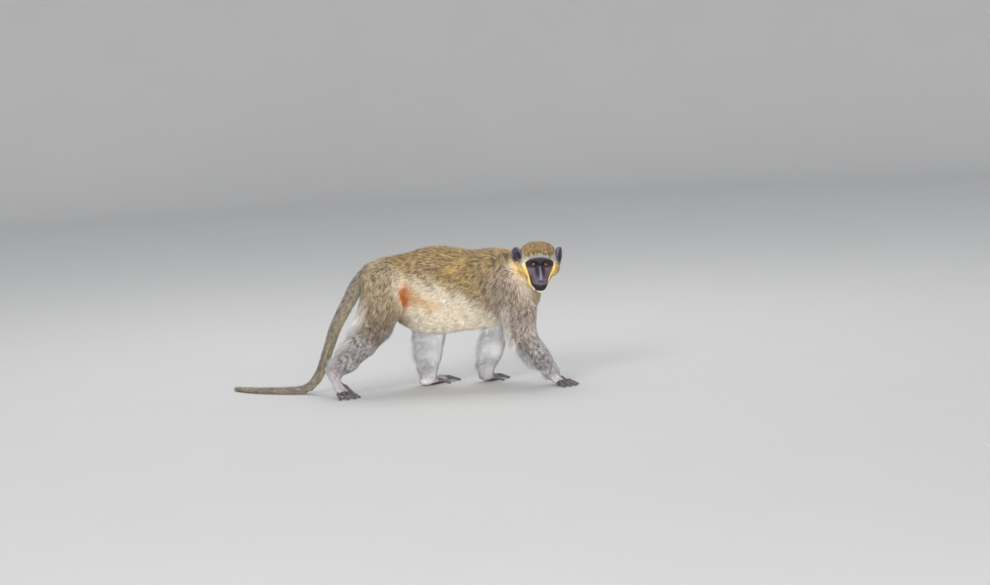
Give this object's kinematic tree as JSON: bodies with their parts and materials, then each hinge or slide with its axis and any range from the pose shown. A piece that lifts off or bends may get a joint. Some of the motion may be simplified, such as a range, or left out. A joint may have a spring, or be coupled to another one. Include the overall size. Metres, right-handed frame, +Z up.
{
  "type": "vervet monkey, green monkey form, life-size still model",
  "caption": "Monkey walking on all fours with its head turned to the right, thick olive coat, dark bare face, hands and feet, and a long tail trailing on the floor",
  "frame": {"origin": "on the floor, under the middle of the bounding box of the whole animal", "axes": "+X towards the chest and the leading hand, +Y towards the animal's left side, +Z up"},
  "size_m": [0.8047, 0.2562, 0.3264],
  "materials": {
    "coat_olive": "dense golden-olive fur with dark ticking",
    "coat_gold": "short golden-brown fur, yellower on the cheeks",
    "coat_grey": "short salt-and-pepper grey fur",
    "coat_pale": "soft cream to white fur",
    "bare_skin": "bare or thinly furred dark mauve-grey skin",
    "eyeball": "wet amber eye"
  },
  "bodies": {
    "root": {"head": "coat_gold", "neck": "coat_olive", "trunk": "coat_olive", "ear_right": "bare_skin", "ear_left": "bare_skin", "eye_right": "eyeball", "eye_left": "eyeball", "tail_root": "coat_olive", "tail_upper": "coat_olive", "tail_bend": "coat_olive", "tail_end": "coat_olive", "upper_arm_right": "coat_olive", "forearm_right": "coat_grey", "hand_right": "bare_skin", "thigh_right": "coat_olive", "shank_right": "coat_grey", "foot_right": "bare_skin", "upper_arm_left": "coat_olive", "forearm_left": "coat_pale", "hand_left": "bare_skin", "thigh_left": "coat_olive", "shank_left": "coat_pale", "foot_left": "bare_skin"}
  },
  "joints": []
}
